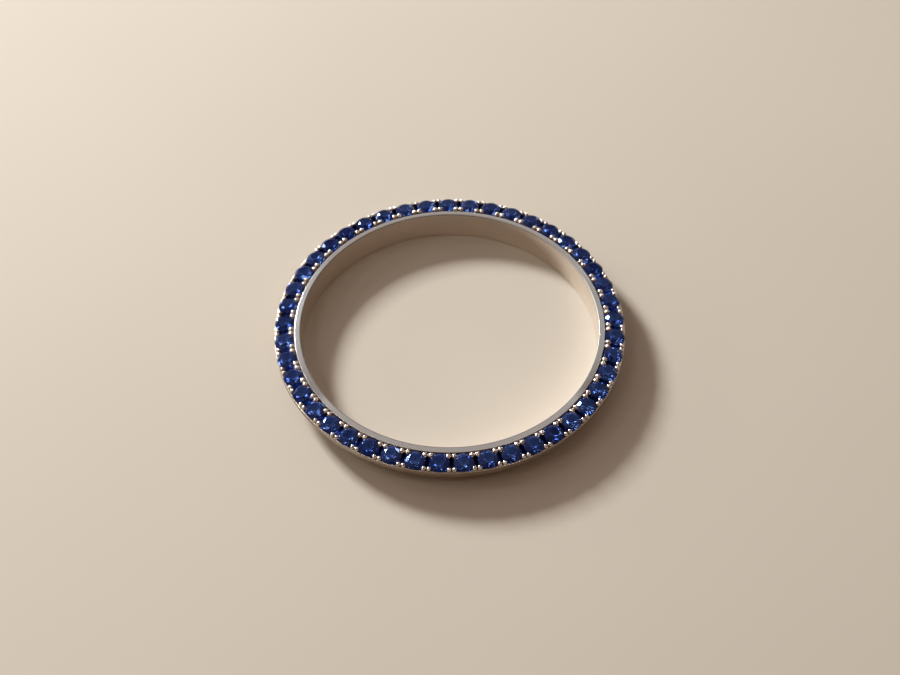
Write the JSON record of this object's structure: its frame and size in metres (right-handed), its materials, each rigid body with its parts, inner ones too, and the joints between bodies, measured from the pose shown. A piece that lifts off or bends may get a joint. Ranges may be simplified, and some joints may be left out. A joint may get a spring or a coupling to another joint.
{
  "type": "sapphire eternity ring",
  "caption": "Slim white metal finger ring with a full row of round sapphires bead-set in a channel on its upper side, lying on its side.",
  "frame": {"origin": "centre of the finger hole, on the surface that the ring lies on", "axes": "+Z along the finger hole, up through the stone row; one stone lies on +Y and a gap between stones on -Y, towards the viewer"},
  "size_m": [0.02, 0.02, 0.0019],
  "materials": {
    "white_gold": "polished white gold, satin on the rim",
    "sapphire": "faceted, polished, deep royal blue"
  },
  "bodies": {
    "root": {"band": "white_gold", "stone_01": "sapphire", "stone_02": "sapphire", "stone_03": "sapphire", "stone_04": "sapphire", "stone_05": "sapphire", "stone_06": "sapphire", "stone_07": "sapphire", "stone_08": "sapphire", "stone_09": "sapphire", "stone_10": "sapphire", "stone_11": "sapphire", "stone_12": "sapphire", "stone_13": "sapphire", "stone_14": "sapphire", "stone_15": "sapphire", "stone_16": "sapphire", "stone_17": "sapphire", "stone_18": "sapphire", "stone_19": "sapphire", "stone_20": "sapphire", "stone_21": "sapphire", "stone_22": "sapphire", "stone_23": "sapphire", "stone_24": "sapphire", "stone_25": "sapphire", "stone_26": "sapphire", "stone_27": "sapphire", "stone_28": "sapphire", "stone_29": "sapphire", "stone_30": "sapphire", "stone_31": "sapphire", "stone_32": "sapphire", "stone_33": "sapphire", "stone_34": "sapphire", "stone_35": "sapphire", "stone_36": "sapphire", "stone_37": "sapphire", "stone_38": "sapphire", "stone_39": "sapphire", "stone_40": "sapphire", "stone_41": "sapphire", "stone_42": "sapphire", "stone_43": "sapphire", "stone_44": "sapphire", "stone_45": "sapphire"}
  },
  "joints": []
}
